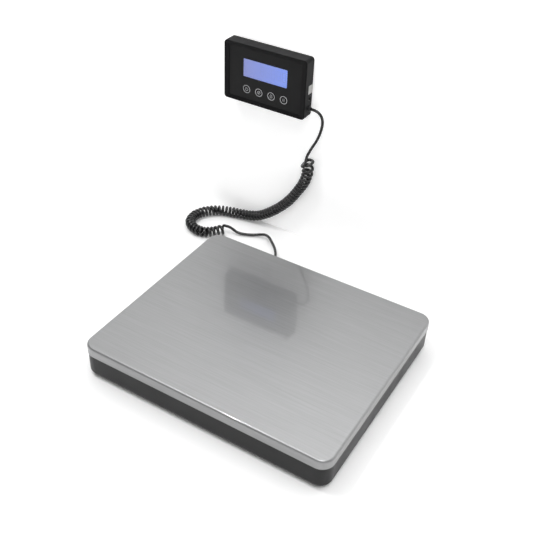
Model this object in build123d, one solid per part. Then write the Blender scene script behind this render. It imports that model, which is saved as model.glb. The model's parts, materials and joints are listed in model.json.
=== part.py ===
"""Platform shipping scale with a remote wall display on a curly cord.

Millimetres, +Z up, the display faces -Y. The origin is on the floor, at the centre of the box that
holds the platform and the wall display. Each separate piece is written to parts/NODE.step.
"""
from build123d import *
from math import pi, radians, tan
import os

# ------------------------------------------------------------------ platform: driving dimensions
PLATFORM_X = 23.5            # centre of the platform
PLATFORM_Y = -57.5
PLATTER_W = 320.0            # along X
PLATTER_D = 270.0            # along Y
PLATTER_TOP = 46.0           # weighing surface above the floor
PLATTER_T = 1.0              # steel sheet
PLATTER_SKIRT = 12.3         # depth of the folded edge
PLATTER_CORNER_R = 15.5      # corners seen from above
PLATTER_BEND_R = 3.0         # fold between top and skirt

TUB_REVEAL = 0.6             # the tub's side stands this far inside the skirt's
TUB_BOTTOM = 2.5
TUB_EDGE_R = 7.0             # rounded lower edge
TUB_FLOOR_T = 2.5
TUB_GAP = 0.7                # between the skirt's edge and the tub's shoulder
TUB_LIP_GAP = 1.0            # between the skirt's inside and the tub's lip
TUB_LIP_T = 2.5
TUB_LIP_TOP = 42.0
RIB_TOP = 13.0
RIB_T = 2.0
RIBS_X = (-60, 0, 60)        # places of the floor's ribs, from the platform's centre
RIBS_Y = (-50, 50)
GLAND_HOLE_R = 4.1

FOOT_X = 127.0               # feet and load cells, from the platform's centre
FOOT_Y = 102.0
FOOT_HOLE_R = 17.0
FOOT_HUB_R = 16.0
FOOT_PAD_R = 14.0
FOOT_PAD_H = 2.2
FOOT_HUB_TOP = 5.5
FOOT_STEM_R = 6.0

CELL_SIDE = 38.0             # square half-bridge load cell
CELL_BASE = 8.0
CELL_T = 2.0
CELL_SCREW_OFFSET = 16.0
RETAINER_T = 3.5
RETAINER_SCREW_R = 1.4
SCREW_PLAY = 0.2             # clearance round a screw in the piece that it holds

PLATE_TOP = 44.0             # support plate under the platter
PLATE_T = 1.5
PLATE_INSET = 8.0
PLATE_FLANGE = 8.0
PLATE_HOLE_R = 17.0
PLATE_SCREW_R = 1.4
PLATE_SCREW_HEAD_R = 3.0
PLATE_SCREW_L = 12.0
COUNTERSINK = 1.5
PAD_T = 0.8
POSTS = [(x, y) for x in (-95, 95) for y in (-118, 118)] + [(x, y) for x in (-140, 140) for y in (-40, 40)]
POST_R = 5.0

BOARD_BOX = (-100.0, 76.0, -40.0, 110.0)    # junction board, from the platform's centre
BOARD_BASE = 14.0
BOARD_T = 1.6
BOARD_SCREW_R = 1.1
SOCKET_H = 5.0                              # connectors on both boards
SOCKET_D = 6.0
CELL_LEAD_D = 2.4
CELL_LEAD_START = 11.8                      # height where a lead leaves its retainer
SOCKET_Y = BOARD_BOX[1] + 3.0               # front of the row that takes the cells' leads
CORD_SOCKET_Y = BOARD_BOX[3] - 4.0          # back of the socket that takes the cord
RATING_LABEL = (70.0, 42.0, 0.25)           # blank plate under the tub: width, depth, thickness

# ------------------------------------------------------------------ display: driving dimensions
DISPLAY_X = -121.75          # centre
DISPLAY_Z = 237.75
DISPLAY_W = 123.5
DISPLAY_H = 80.5
DISPLAY_T = 20.0
DISPLAY_FRONT = 168.5        # Y of the front rim; the display faces -Y
CASE_CORNER_R = 4.5
CASE_WALL = 2.0
CASE_FRONT_EDGE_R = 1.2
CASE_BACK_EDGE_R = 1.6
SPLIT = DISPLAY_FRONT + 8.0  # joint between the two shells
BACK = DISPLAY_FRONT + DISPLAY_T

RIM_W = 1.3                  # flat outer rim of the bezel
BEZEL_X = 7.5                # rim and slope together, left and right
BEZEL_Z = 5.4                # the same, top and bottom
SLOPE_DEPTH = 1.5
PANEL_FACE = DISPLAY_FRONT + 2.0
OVERLAY_T = 0.5
FRONT_WALL_T = 2.0
INNER_FACE = PANEL_FACE + OVERLAY_T + FRONT_WALL_T

LCD_X = -121.5               # viewing window
LCD_Z = 246.2
LCD_W = 66.2
LCD_H = 24.5
LCD_CORNER_R = 1.3
GLASS_W = 70.0
GLASS_H = 33.0
GLASS_T = 2.0
BACKLIGHT_T = 2.5

KEY_Z = 216.8
KEY_PITCH = 18.9
KEY_X = -120.7               # middle of the row of four
KEY_R = 6.3
KEY_GAP = 0.2
KEY_FLANGE_R = 7.1
KEY_TRAVEL = 0.4
KEY_NAMES = ["key_power", "key_tare", "key_unit", "key_hold"]

MAIN_BOARD_FACE = INNER_FACE + 0.05 + GLASS_T + BACKLIGHT_T + 0.15
MAIN_BOARD_T = 1.6
MAIN_BOARD_BOX = (-155.0, 208.0, -76.5, 273.0)   # x, z, x, z
MAIN_BOARD_SCREWS = [(-152.0, 270.0), (-79.5, 270.0), (KEY_X - KEY_PITCH, 211.0), (KEY_X + KEY_PITCH, 211.0)]
CASE_SCREWS = [(-176.0, 270.0), (-67.5, 270.0), (-152.0, 203.4), (-76.0, 203.4)]

CELL_R = 5.25                # AAA cell
CELL_L = 44.5
CELL_NUB_R = 1.9
CELL_NUB_L = 0.8
BATTERY_X = (-174.85, -164.15)
BAY = (-180.2, 202.4, -158.8, 249.6)             # inside of the battery bay: x, z, x, z
BAY_WALL = 1.2
BAY_FLOOR = 175.2
BATTERY_Y = 180.9
DOOR_T = 1.9
DOOR_PLAY = 0.15
GRIP_Z = (206.0, 208.5, 211.0)                   # grooves for the thumb

CASE_SCREW_R = 1.1
CASE_SCREW_HEAD_R = 2.5
CASE_SCREW_DEPTH = 6.0       # seat of the head below the case's back
MAIN_BOARD_SCREW_R = 1.0
SWITCH_H = 3.2               # tact switch with its plunger
SWITCH_BODY_H = 2.4

SIDE_PORT_Y = 182.0          # jack and cord leave the right side at mid-depth
JACK_Z = 224.3
JACK_SIDE = 8.8
JACK_NOSE_R = 3.8
JACK_BORE_R = 2.85
JACK_PIN_R = 1.0
JACK_DEPTH = 12.0
SIDE_LABEL_Y = (176.6, 186.2)
SIDE_LABEL_Z = (230.8, 242.4)
SIDE_LABEL_T = 0.15
CORD_Z = 209.5
CORD_SOCKET_Z = 213.0        # connectors on the main board
DISPLAY_SOCKET_X = -80.5
GLAND_INNER_T = 1.6          # flanges of both strain reliefs inside their walls

# ------------------------------------------------------------------ wall bracket
WALL_Y = 192.5
BRACKET_W = 54.0
BRACKET_T = 2.5
BRACKET_BASE = 241.0
BRACKET_H = 32.0
BRACKET_HOLE_R = 2.25
BRACKET_HOLE_PITCH = 40.0
BRACKET_HOLE_Z = 265.5
TONGUE_Z = 246.0
TONGUE_H = 14.0
NECK_W = 14.0
HEAD_W = 20.0
HEAD_T = 2.0
TONGUE_PLAY = 0.3

# ------------------------------------------------------------------ cord
CORD_D = 4.0
COIL_D = 15.0
RELIEF_TIP_R = 2.6
REAR_GLAND_X = -54.0
REAR_GLAND_Z = 20.0
REAR_GLAND_LENGTH = 14.0

UPPER_LEAD = [
    (-57.6, 182.0, 209.5), (-50.4, 182.0, 209.5), (-44.1, 182.6, 206.1), (-40.3, 183.2, 200.0),
    (-39.9, 184.0, 190.9), (-42.0, 184.5, 180.0), (-46.0, 184.5, 167.0), (-52.5, 184.5, 154.5),
    (-57.8, 184.5, 143.3), (-57.0, 184.5, 132.0),
]
COIL_AXIS = [
    (-57.0, 184.5, 132.0), (-55.8, 184.5, 115.0), (-60.5, 184.5, 97.0), (-70.5, 184.5, 79.0),
    (-82.0, 184.5, 60.0), (-97.5, 184.5, 42.0), (-115.0, 184.5, 26.0), (-134.0, 184.0, 13.0),
    (-154.0, 182.0, 9.0), (-175.0, 178.5, 8.0), (-195.0, 172.0, 8.0), (-210.0, 158.0, 8.0),
    (-217.5, 140.0, 8.0), (-213.0, 121.0, 8.0), (-198.0, 111.0, 8.0), (-181.0, 110.5, 8.0),
    (-170.0, 120.0, 8.0), (-161.0, 133.0, 8.0),
]
LOWER_LEAD = [
    (-161.0, 133.0, 8.0), (-156.8, 137.6, 8.0), (-150.3, 140.3, 7.2), (-143.3, 141.4, 5.2),
    (-135.5, 144.1, 3.4), (-124.0, 149.9, 2.8), (-113.0, 155.6, 4.6), (-103.0, 156.3, 8.0),
    (-93.5, 150.8, 10.0), (-84.0, 141.5, 11.5), (-74.0, 131.5, 13.5), (-65.5, 120.5, 16.0),
    (-58.5, 109.5, 18.5), (-54.0, 99.5, 20.0), (-54.0, 91.5, 20.0),
]


# ------------------------------------------------------------------ helpers
def at(x, y, z=0.0):
    """A place on the platform, measured from its centre."""
    return Pos(PLATFORM_X + x, PLATFORM_Y + y, z)


def slab(outline, front, back):
    """An upright plate: an outline in X and Z, from Y = front to Y = back."""
    plane = Plane(origin=(0, back, 0), x_dir=(1, 0, 0), z_dir=(0, -1, 0))
    return extrude(plane * outline, back - front)


def rod(x, z, radius, front, back):
    """A round bar along Y."""
    return slab(Pos(x, z) * Circle(radius), front, back)


def block(low, high):
    """A box between two opposite corners."""
    size = [b - a for a, b in zip(low, high)]
    middle = [(a + b) / 2 for a, b in zip(low, high)]
    return Pos(*middle) * Box(*size)


def disc(radius, bottom, top):
    """An upright cylinder on the Z axis."""
    return Pos(0, 0, (bottom + top) / 2) * Cylinder(radius, top - bottom)


def cone(bottom_radius, top_radius, bottom, top):
    """An upright cone on the Z axis."""
    return Pos(0, 0, (bottom + top) / 2) * Cone(bottom_radius, top_radius, top - bottom)


def across(front, back):
    """Everything between two distances along Y."""
    reach = 500
    return block((-reach, front, -reach), (reach, back, reach))


def plate(width, depth, corner, bottom, top):
    """A flat plate with rounded corners, centred on the Z axis."""
    return Pos(0, 0, bottom) * extrude(RectangleRounded(width, depth, corner), top - bottom)


def corner_radii(points):
    """The largest arc that each corner of a route has room for."""
    vectors = [Vector(*p) for p in points]
    radii = []
    for before, here, after in zip(vectors, vectors[1:], vectors[2:]):
        turn = (here - before).get_angle(after - here)
        shorter = min((here - before).length, (after - here).length)
        radii.append(0.45 * shorter / tan(radians(turn) / 2))
    return radii


def tube(points, diameter, label):
    """A round tube along straight runs joined by tangent arcs."""
    radii = corner_radii(points)
    path = FilletPolyline(*points, radius=radii)
    solid = sweep(Plane(origin=path @ 0, z_dir=path % 0) * Circle(diameter / 2), path=path)
    section = pi * diameter ** 2 / 4
    print(f"{label}: length {path.length:.1f}, smallest radius {min(radii):.1f}, "
          f"volume / (section x length) {solid.volume / (section * path.length):.4f}")
    return solid


def group(solids):
    """Identical loose pieces kept together as one node."""
    return Compound(children=list(solids))


# ------------------------------------------------------------------ platform
def platter():
    """The pressed steel tray that the goods stand on."""
    bottom = PLATTER_TOP - PLATTER_SKIRT
    outside = plate(PLATTER_W, PLATTER_D, PLATTER_CORNER_R, bottom, PLATTER_TOP)
    outside = fillet(outside.faces().sort_by(Axis.Z)[-1].edges(), PLATTER_BEND_R)
    inside = plate(PLATTER_W - 2 * PLATTER_T, PLATTER_D - 2 * PLATTER_T, PLATTER_CORNER_R - PLATTER_T,
                   bottom - 1, PLATTER_TOP - PLATTER_T)
    inside = fillet(inside.faces().sort_by(Axis.Z)[-1].edges(), PLATTER_BEND_R - PLATTER_T)
    return at(0, 0) * (outside - inside)


def cell_places():
    """The four corners, named from the front left."""
    return {
        "front_left": (-FOOT_X, -FOOT_Y),
        "front_right": (FOOT_X, -FOOT_Y),
        "rear_left": (-FOOT_X, FOOT_Y),
        "rear_right": (FOOT_X, FOOT_Y),
    }


def cell_screw_places(x, y):
    """The two screws of a cell's retainer, on one diagonal."""
    return [(x - sign * CELL_SCREW_OFFSET, y + sign * CELL_SCREW_OFFSET) for sign in (-1, 1)]


def base_tub():
    """The black moulded tub: rounded body, lip inside the skirt, ribs, posts and cell seats."""
    width = PLATTER_W - 2 * TUB_REVEAL
    depth = PLATTER_D - 2 * TUB_REVEAL
    corner = PLATTER_CORNER_R - TUB_REVEAL
    shoulder = PLATTER_TOP - PLATTER_SKIRT - TUB_GAP
    body = plate(width, depth, corner, TUB_BOTTOM, shoulder)
    body = fillet(body.faces().sort_by(Axis.Z)[0].edges(), TUB_EDGE_R)
    inset = PLATTER_T + TUB_LIP_GAP
    lip = plate(PLATTER_W - 2 * inset, PLATTER_D - 2 * inset, PLATTER_CORNER_R - inset,
                shoulder, TUB_LIP_TOP)
    floor_top = TUB_BOTTOM + TUB_FLOOR_T
    wall_in = inset + TUB_LIP_T
    room = plate(PLATTER_W - 2 * wall_in, PLATTER_D - 2 * wall_in, PLATTER_CORNER_R - wall_in,
                 floor_top, TUB_LIP_TOP + 1)
    room = fillet(room.faces().sort_by(Axis.Z)[0].edges(), TUB_EDGE_R - TUB_FLOOR_T)
    tub = body + lip - room
    half_rib = RIB_T / 2
    half_room = PLATTER_D / 2 - wall_in - 1
    for x in RIBS_X:
        tub += block((x - half_rib, -half_room, floor_top - 1), (x + half_rib, half_room, RIB_TOP))
    half_room = PLATTER_W / 2 - wall_in - 1
    for y in RIBS_Y:
        tub += block((-half_room, y - half_rib, floor_top - 1), (half_room, y + half_rib, RIB_TOP))
    for x, y in POSTS:
        tub += Pos(x, y) * disc(POST_R, floor_top - 1, PLATE_TOP - PLATE_T)
    for x, y in board_corners():
        tub += Pos(x, y) * disc(3.5, floor_top - 1, BOARD_BASE)
    for x, y in cell_places().values():
        tub += Pos(x, y) * plate(CELL_SIDE + 2, CELL_SIDE + 2, 3, floor_top - 1, CELL_BASE)
    for x, y in cell_places().values():
        tub -= Pos(x, y) * disc(FOOT_HOLE_R, 0, CELL_BASE + 1)
        for screw_x, screw_y in cell_screw_places(x, y):
            tub -= Pos(screw_x, screw_y) * disc(RETAINER_SCREW_R, 4, CELL_BASE + 1)
    for x, y in POSTS:
        tub -= Pos(x, y) * disc(PLATE_SCREW_R, PLATE_TOP - PLATE_SCREW_L - 2, PLATE_TOP)
    for x, y in board_corners():
        tub -= Pos(x, y) * disc(BOARD_SCREW_R, BOARD_BASE - 7, BOARD_BASE + 1)
    gland_hole = Rot(90, 0, 0) * Cylinder(GLAND_HOLE_R, 20)
    tub -= Pos(REAR_GLAND_X - PLATFORM_X, PLATTER_D / 2, REAR_GLAND_Z) * gland_hole
    return at(0, 0) * tub


def support_plate():
    """The flanged steel plate on the posts, which carries the platter through thin pads."""
    width = PLATTER_W - 2 * PLATE_INSET
    depth = PLATTER_D - 2 * PLATE_INSET
    bottom = PLATE_TOP - PLATE_T - PLATE_FLANGE
    outside = plate(width, depth, 10, bottom, PLATE_TOP)
    outside = fillet(outside.faces().sort_by(Axis.Z)[-1].edges(), 2.5)
    inside = plate(width - 2 * PLATE_T, depth - 2 * PLATE_T, 10 - PLATE_T, bottom - 1, PLATE_TOP - PLATE_T)
    sheet = outside - inside
    for x in (-100, -50, 50, 100):
        for y in (-60, 60):
            sheet -= Pos(x, y) * disc(PLATE_HOLE_R, bottom, PLATE_TOP + 1)
    for x, y in POSTS:
        sheet -= Pos(x, y) * cone(PLATE_SCREW_R + SCREW_PLAY, PLATE_SCREW_HEAD_R + 0.1,
                                  PLATE_TOP - COUNTERSINK, PLATE_TOP)
    return at(0, 0) * sheet


def plate_screws():
    """Countersunk screws that hold the support plate to the posts."""
    head = cone(PLATE_SCREW_R + SCREW_PLAY, PLATE_SCREW_HEAD_R, PLATE_TOP - COUNTERSINK, PLATE_TOP - 0.1)
    shaft = disc(PLATE_SCREW_R, PLATE_TOP - PLATE_SCREW_L, PLATE_TOP - COUNTERSINK)
    slot = block((-2, -0.4, PLATE_TOP - 0.6), (2, 0.4, PLATE_TOP + 1))
    screw = head + shaft - slot - Rot(0, 0, 90) * slot
    return group(at(x, y) * screw for x, y in POSTS)


def platter_pads():
    """Foam pads between the support plate and the platter."""
    pad = Pos(0, 0, PLATE_TOP) * extrude(RectangleRounded(34, 14, 3), PAD_T)
    places = [(x, y) for x in (-130, 0, 130) for y in (-95, 95)] + [(0, 0)]
    return group(at(x, y) * pad for x, y in places)


def load_cell(x, y):
    """A square half-bridge cell: a steel frame round a tongue that bends."""
    sheet = plate(CELL_SIDE, CELL_SIDE, 2, CELL_BASE, CELL_BASE + CELL_T)
    slot = block((-11, -14, 0), (11, 11, 20)) - block((-8, -11, -1), (8, 12, 21))
    sheet -= slot
    for sx in (-1, 1):
        for sy in (-1, 1):
            hole = disc(RETAINER_SCREW_R + SCREW_PLAY, 0, 20)
            sheet -= Pos(sx * CELL_SCREW_OFFSET, sy * CELL_SCREW_OFFSET) * hole
    return at(x, y) * sheet


def cell_retainer(x, y):
    """The moulded cover that clamps a cell's frame down on its seat."""
    bottom = CELL_BASE + CELL_T
    cover = plate(CELL_SIDE + 2, CELL_SIDE + 2, 3, bottom, bottom + RETAINER_T)
    cover = fillet(cover.faces().sort_by(Axis.Z)[-1].edges(), 1.0)
    cover -= plate(26, 28, 3, bottom - 1, bottom + 1.6)
    for screw_x, screw_y in cell_screw_places(0, 0):
        cover -= Pos(screw_x, screw_y) * disc(RETAINER_SCREW_R + SCREW_PLAY, 0, 20)
    return at(x, y) * cover


def retainer_screws():
    """Two pan-head screws on each retainer, on one diagonal."""
    seat = CELL_BASE + CELL_T + RETAINER_T
    head = disc(2.7, seat, seat + 1.8)
    head = fillet(head.edges().sort_by(Axis.Z)[-1], 0.8)
    screw = head + disc(RETAINER_SCREW_R, 4.6, seat)
    screw -= block((-1.8, -0.35, seat + 1.0), (1.8, 0.35, seat + 3))
    places = [place for corner in cell_places().values() for place in cell_screw_places(*corner)]
    return group(at(x, y) * screw for x, y in places)


def foot_hub(x, y):
    """The moulded foot that presses on the cell's tongue."""
    hub = disc(FOOT_HUB_R, FOOT_PAD_H, FOOT_HUB_TOP) + disc(FOOT_STEM_R, FOOT_HUB_TOP, CELL_BASE)
    return at(x, y) * fillet(hub.edges().filter_by(GeomType.CIRCLE).sort_by(Axis.Z)[0], 0.6)


def foot_pad(x, y):
    """The rubber sole of a foot."""
    sole = disc(FOOT_PAD_R, 0, FOOT_PAD_H)
    sole = fillet(sole.edges().filter_by(GeomType.CIRCLE).sort_by(Axis.Z)[0], 0.8)
    return at(x, y) * sole


def board_corners():
    """Screw places of the junction board, from the platform's centre."""
    x0, y0, x1, y1 = BOARD_BOX
    return [(x, y) for x in (x0 + 4, x1 - 4) for y in (y0 + 4, y1 - 4)]


def junction_board():
    """The board where the four cells join the cord."""
    x0, y0, x1, y1 = BOARD_BOX
    board = block((x0, y0, BOARD_BASE), (x1, y1, BOARD_BASE + BOARD_T))
    for x, y in board_corners():
        board -= Pos(x, y) * disc(BOARD_SCREW_R + SCREW_PLAY, 0, 20)
    return at(0, 0) * board


def junction_board_screws():
    """Four small screws that hold the junction board."""
    top = BOARD_BASE + BOARD_T
    screw = disc(2 * BOARD_SCREW_R, top, top + 1.4) + disc(BOARD_SCREW_R, BOARD_BASE - 5, top)
    screw -= block((-1.6, -0.3, top + 0.7), (1.6, 0.3, top + 2))
    return group(at(x, y) * screw for x, y in board_corners())


def junction_sockets():
    """The row of sockets for the cells' leads and the one for the cord."""
    low = BOARD_BASE + BOARD_T
    high = low + SOCKET_H
    cord_x = REAR_GLAND_X - PLATFORM_X
    row = block((-89, SOCKET_Y, low), (-49, SOCKET_Y + SOCKET_D, high))
    single = block((cord_x - 5, CORD_SOCKET_Y - SOCKET_D, low), (cord_x + 5, CORD_SOCKET_Y, high))
    return group([at(0, 0) * row, at(0, 0) * single])


def cell_leads():
    """The four cells' leads, from each retainer's side over the ribs to the junction board."""
    edge = FOOT_Y - CELL_SIDE / 2 - 1
    over_ribs = 16.0
    plug = BOARD_BASE + BOARD_T + SOCKET_H / 2
    routes = [
        [(-FOOT_X, edge), (-FOOT_X, 70), (-119, 58), (-106, 53), (-93, 57), (-85, 67), (-85, SOCKET_Y)],
        [(-FOOT_X, -edge), (-FOOT_X, -66), (-122, -42), (-113, -12), (-103, 15), (-90, 43), (-77, 64),
         (-77, SOCKET_Y)],
        [(FOOT_X, -edge), (FOOT_X, -66), (112, -42), (82, -22), (48, -6), (14, 7), (-20, 24), (-47, 45),
         (-61, 64), (-61, SOCKET_Y)],
        [(FOOT_X, edge), (FOOT_X, 70), (112, 54), (80, 46), (46, 49), (12, 43), (-20, 49), (-45, 59),
         (-53, 68), (-53, SOCKET_Y)],
    ]
    leads = []
    for flat in routes:
        heights = [CELL_LEAD_START] * 2 + [over_ribs] * (len(flat) - 4) + [plug] * 2
        points = [(PLATFORM_X + x, PLATFORM_Y + y, z) for (x, y), z in zip(flat, heights)]
        leads.append(tube(points, CELL_LEAD_D, "cell lead"))
    return group(leads)


def rear_gland():
    """The strain relief in the tub's back wall, where the cord enters the platform."""
    outer = PLATTER_D / 2 - TUB_REVEAL
    inner = PLATTER_D / 2 - PLATTER_T - TUB_LIP_GAP - TUB_LIP_T
    tip = PLATTER_D / 2 + REAR_GLAND_LENGTH
    neck = GLAND_HOLE_R - 0.1
    start = inner - GLAND_INNER_T
    profile = make_face(Polyline(
        (0, start), (5.6, start), (5.6, inner), (neck, inner), (neck, outer), (6.0, outer),
        (6.0, outer + 2.2), (4.6, outer + 3.0), (RELIEF_TIP_R, tip), (0, tip), close=True))
    gland = revolve(profile, Axis.Y, 360)
    return Pos(REAR_GLAND_X, PLATFORM_Y, REAR_GLAND_Z) * gland


def base_pigtail():
    """The cord's end inside the platform, from the gland to the junction board."""
    inner = PLATFORM_Y + PLATTER_D / 2 - PLATTER_T - TUB_LIP_GAP - TUB_LIP_T - GLAND_INNER_T
    end = PLATFORM_Y + CORD_SOCKET_Y
    plug = BOARD_BASE + BOARD_T + SOCKET_H / 2
    points = [
        (REAR_GLAND_X, inner, REAR_GLAND_Z), (REAR_GLAND_X, inner - 7, REAR_GLAND_Z),
        (REAR_GLAND_X, end + 7.5, plug), (REAR_GLAND_X, end, plug),
    ]
    return tube(points, CORD_D - 0.2, "base pigtail")


def rating_label():
    """A blank plate label under the tub."""
    width, depth, thickness = RATING_LABEL
    return at(30, 0) * plate(width, depth, 2, TUB_BOTTOM - thickness, TUB_BOTTOM)


# ------------------------------------------------------------------ display
def case_outline(width=DISPLAY_W, height=DISPLAY_H, corner=CASE_CORNER_R):
    """The case's outline in X and Z."""
    return Pos(DISPLAY_X, DISPLAY_Z) * RectangleRounded(width, height, corner)


def case_block():
    """The whole case as a solid, with its outer edges rounded."""
    case = slab(case_outline(), DISPLAY_FRONT, BACK)
    case = fillet(case.faces().sort_by(Axis.Y)[0].edges(), CASE_FRONT_EDGE_R)
    return fillet(case.faces().sort_by(Axis.Y)[-1].edges(), CASE_BACK_EDGE_R)


def case_room(front, back):
    """The space inside the case's walls."""
    inner = case_outline(DISPLAY_W - 2 * CASE_WALL, DISPLAY_H - 2 * CASE_WALL, CASE_CORNER_R - CASE_WALL)
    return slab(inner, front, back)


def key_places():
    """The middles of the four keys, in X."""
    return [KEY_X + (i - 1.5) * KEY_PITCH for i in range(len(KEY_NAMES))]


def key_holes(radius, front, back):
    """Four round holes for the keys."""
    return [rod(x, KEY_Z, radius, front, back) for x in key_places()]


def front_shell():
    """The front half of the case: sloping bezel, seat for the panel, window and key holes."""
    shell = case_block() & across(DISPLAY_FRONT - 1, SPLIT)
    rim = case_outline(DISPLAY_W - 2 * RIM_W, DISPLAY_H - 2 * RIM_W, CASE_CORNER_R - RIM_W)
    seat_w = DISPLAY_W - 2 * BEZEL_X
    seat_h = DISPLAY_H - 2 * BEZEL_Z
    seat = case_outline(seat_w, seat_h, 1.5)
    front_plane = Plane(origin=(0, DISPLAY_FRONT, 0), x_dir=(1, 0, 0), z_dir=(0, -1, 0))
    slope_plane = Plane(origin=(0, DISPLAY_FRONT + SLOPE_DEPTH, 0), x_dir=(1, 0, 0), z_dir=(0, -1, 0))
    shell -= loft([front_plane * rim, slope_plane * seat])
    shell -= slab(seat, DISPLAY_FRONT, PANEL_FACE + OVERLAY_T)
    shell -= case_room(INNER_FACE, SPLIT + 1)
    shell -= slab(Pos(LCD_X, LCD_Z) * Rectangle(LCD_W + 2, LCD_H + 2), DISPLAY_FRONT, INNER_FACE + 1)
    for hole in key_holes(KEY_R + KEY_GAP, DISPLAY_FRONT, INNER_FACE + 1):
        shell -= hole
    for x, z in MAIN_BOARD_SCREWS:
        shell += rod(x, z, 2.6, INNER_FACE - 0.5, MAIN_BOARD_FACE)
        shell -= rod(x, z, MAIN_BOARD_SCREW_R, INNER_FACE + 0.5, MAIN_BOARD_FACE + 1)
    for x, z in CASE_SCREWS:
        shell += rod(x, z, 3.0, INNER_FACE - 0.5, SPLIT)
        shell -= rod(x, z, CASE_SCREW_R, INNER_FACE - 0.2, SPLIT + 1)
    return shell


def battery_bay():
    """Walls of the battery bay, open at the back."""
    x0, z0, x1, z1 = BAY
    outside = block((x0 - 1.0, BAY_FLOOR - BAY_WALL, z0 - BAY_WALL),
                    (x1 + BAY_WALL, BACK - 1.0, z1 + BAY_WALL))
    return outside - block((x0, BAY_FLOOR, z0), (x1, BACK + 1, z1))


def door_opening(play=0.0):
    """The door's place in the back wall, with a tongue along each side."""
    x0, _, x1, z1 = BAY
    bottom = DISPLAY_Z - DISPLAY_H / 2 - 1
    leaf = block((x0 + play, BACK - DOOR_T, bottom), (x1 - play, BACK + 1, z1 - play))
    tongue_low = BACK - 1.4 + play / 2
    tongue_high = BACK - 0.6 - play / 2
    tongues = block((x0 - 0.7 + play, tongue_low, bottom), (x1 + 0.7 - play, tongue_high, z1 - play))
    return leaf + tongues


def bracket_pocket():
    """Keyhole pocket in the back: a wide entry below and a narrow slot above it."""
    slot_top = TONGUE_Z + TONGUE_H + 0.05
    entry_top = TONGUE_Z - 1.0
    entry_bottom = entry_top - TONGUE_H - 1.5
    half_neck = NECK_W / 2 + TONGUE_PLAY
    half_head = HEAD_W / 2 + TONGUE_PLAY + 0.2
    wall_in = BACK - CASE_WALL
    room = block((DISPLAY_X - half_head, wall_in - HEAD_T - 0.6, entry_bottom),
                 (DISPLAY_X + half_head, wall_in, slot_top))
    entry = block((DISPLAY_X - half_head, wall_in - 1, entry_bottom),
                  (DISPLAY_X + half_head, BACK + 1, entry_top))
    slot = block((DISPLAY_X - half_neck, wall_in - 1, entry_bottom),
                 (DISPLAY_X + half_neck, BACK + 1, slot_top))
    return room + entry + slot, entry_bottom, slot_top


def rear_shell():
    """The rear half of the case: battery bay, bracket pocket, screw tubes and side ports."""
    shell = case_block() & across(SPLIT, BACK + 1)
    shell -= case_room(SPLIT - 1, BACK - CASE_WALL)
    right = DISPLAY_X + DISPLAY_W / 2
    pocket, pocket_bottom, pocket_top = bracket_pocket()
    half = HEAD_W / 2 + TONGUE_PLAY + 1.4
    shell += block((DISPLAY_X - half, BACK - CASE_WALL - HEAD_T - 1.8, pocket_bottom - 1.2),
                   (DISPLAY_X + half, BACK - 0.5, pocket_top + 1.2))
    shell -= pocket
    for x, z in CASE_SCREWS:
        shell += rod(x, z, 3.6, SPLIT, BACK - 1)
        shell -= rod(x, z, CASE_SCREW_R + SCREW_PLAY, SPLIT - 1, BACK + 1)
        shell -= rod(x, z, CASE_SCREW_HEAD_R + 0.3, BACK - CASE_SCREW_DEPTH, BACK + 1)
    x0, z0, x1, z1 = BAY
    shell -= block((x0, BAY_FLOOR, z0), (x1, BACK + 1, z1))
    shell += battery_bay()
    shell -= door_opening()
    shell -= Pos(right, SIDE_PORT_Y, JACK_Z) * Rot(0, 90, 0) * Cylinder(JACK_NOSE_R + 0.1, 8)
    shell -= Pos(right, SIDE_PORT_Y, CORD_Z) * Rot(0, 90, 0) * Cylinder(3.3, 8)
    return shell


def case_screws():
    """Four screws from the back through both shells."""
    seat = BACK - CASE_SCREW_DEPTH
    screws = []
    for x, z in CASE_SCREWS:
        screw = rod(x, z, CASE_SCREW_HEAD_R, seat, seat + 1.8)
        screw += rod(x, z, CASE_SCREW_R, INNER_FACE + 0.3, seat)
        screw -= block((x - 1.7, seat + 1.0, z - 0.3), (x + 1.7, seat + 3, z + 0.3))
        screw -= block((x - 0.3, seat + 1.0, z - 1.7), (x + 0.3, seat + 3, z + 1.7))
        screws.append(screw)
    return group(screws)


def window_outline():
    """The viewing window's outline."""
    return Pos(LCD_X, LCD_Z) * RectangleRounded(LCD_W, LCD_H, LCD_CORNER_R)


def overlay_panel():
    """The flat black panel in the bezel, cut out for the window and the keys."""
    sheet = slab(case_outline(DISPLAY_W - 2 * BEZEL_X - 0.2, DISPLAY_H - 2 * BEZEL_Z - 0.2, 1.4),
                 PANEL_FACE, PANEL_FACE + OVERLAY_T)
    sheet -= slab(window_outline(), PANEL_FACE - 1, PANEL_FACE + 2)
    for hole in key_holes(KEY_R + KEY_GAP, PANEL_FACE - 1, PANEL_FACE + 2):
        sheet -= hole
    return sheet


def lcd_window():
    """The clear window over the glass."""
    return slab(window_outline(), PANEL_FACE, PANEL_FACE + OVERLAY_T)


def lcd_glass():
    """The liquid crystal glass behind the front wall."""
    front = INNER_FACE + 0.05
    return slab(Pos(LCD_X, LCD_Z) * Rectangle(GLASS_W, GLASS_H), front, front + GLASS_T)


def lcd_backlight():
    """The light guide behind the glass."""
    front = INNER_FACE + 0.05 + GLASS_T
    return slab(Pos(LCD_X, LCD_Z) * RectangleRounded(GLASS_W, GLASS_H, 1), front, front + BACKLIGHT_T)


def main_board():
    """The display's printed circuit board."""
    x0, z0, x1, z1 = MAIN_BOARD_BOX
    board = block((x0, MAIN_BOARD_FACE, z0), (x1, MAIN_BOARD_FACE + MAIN_BOARD_T, z1))
    for x, z in MAIN_BOARD_SCREWS:
        board -= rod(x, z, MAIN_BOARD_SCREW_R + SCREW_PLAY, MAIN_BOARD_FACE - 1, MAIN_BOARD_FACE + 3)
    return board


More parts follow.
